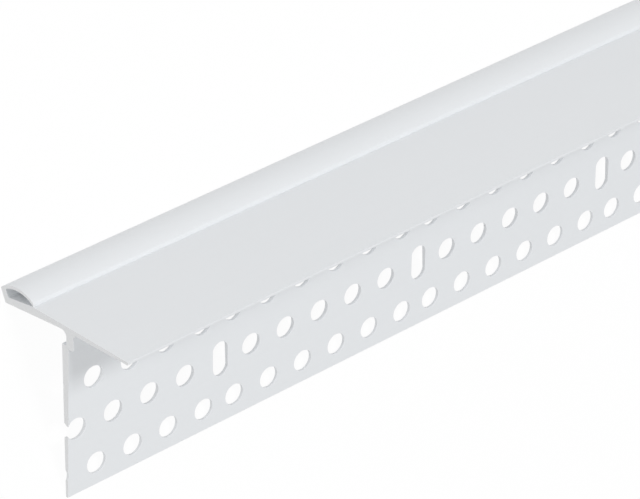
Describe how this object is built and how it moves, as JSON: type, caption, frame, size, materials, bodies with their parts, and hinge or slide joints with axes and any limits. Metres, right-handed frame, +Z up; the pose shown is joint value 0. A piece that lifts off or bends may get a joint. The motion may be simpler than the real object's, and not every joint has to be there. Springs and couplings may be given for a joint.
{
  "type": "shadow gap profile",
  "caption": "Straight white PVC trim with a T-shaped section: a flange with a curled lip on a perforated leg, fixed to a board to form a shadow gap.",
  "frame": {"origin": "middle of the bounding box, on the floor", "axes": "+X along the length, away from the sawn end that the picture shows; +Z up as the profile lies on its back; +Y from the leg's lower edge to the curled lip"},
  "size_m": [1, 0.0402, 0.0302],
  "materials": {
    "white_pvc": "satin"
  },
  "bodies": {
    "root": {"shadow_gap_profile": "white_pvc"}
  },
  "joints": []
}
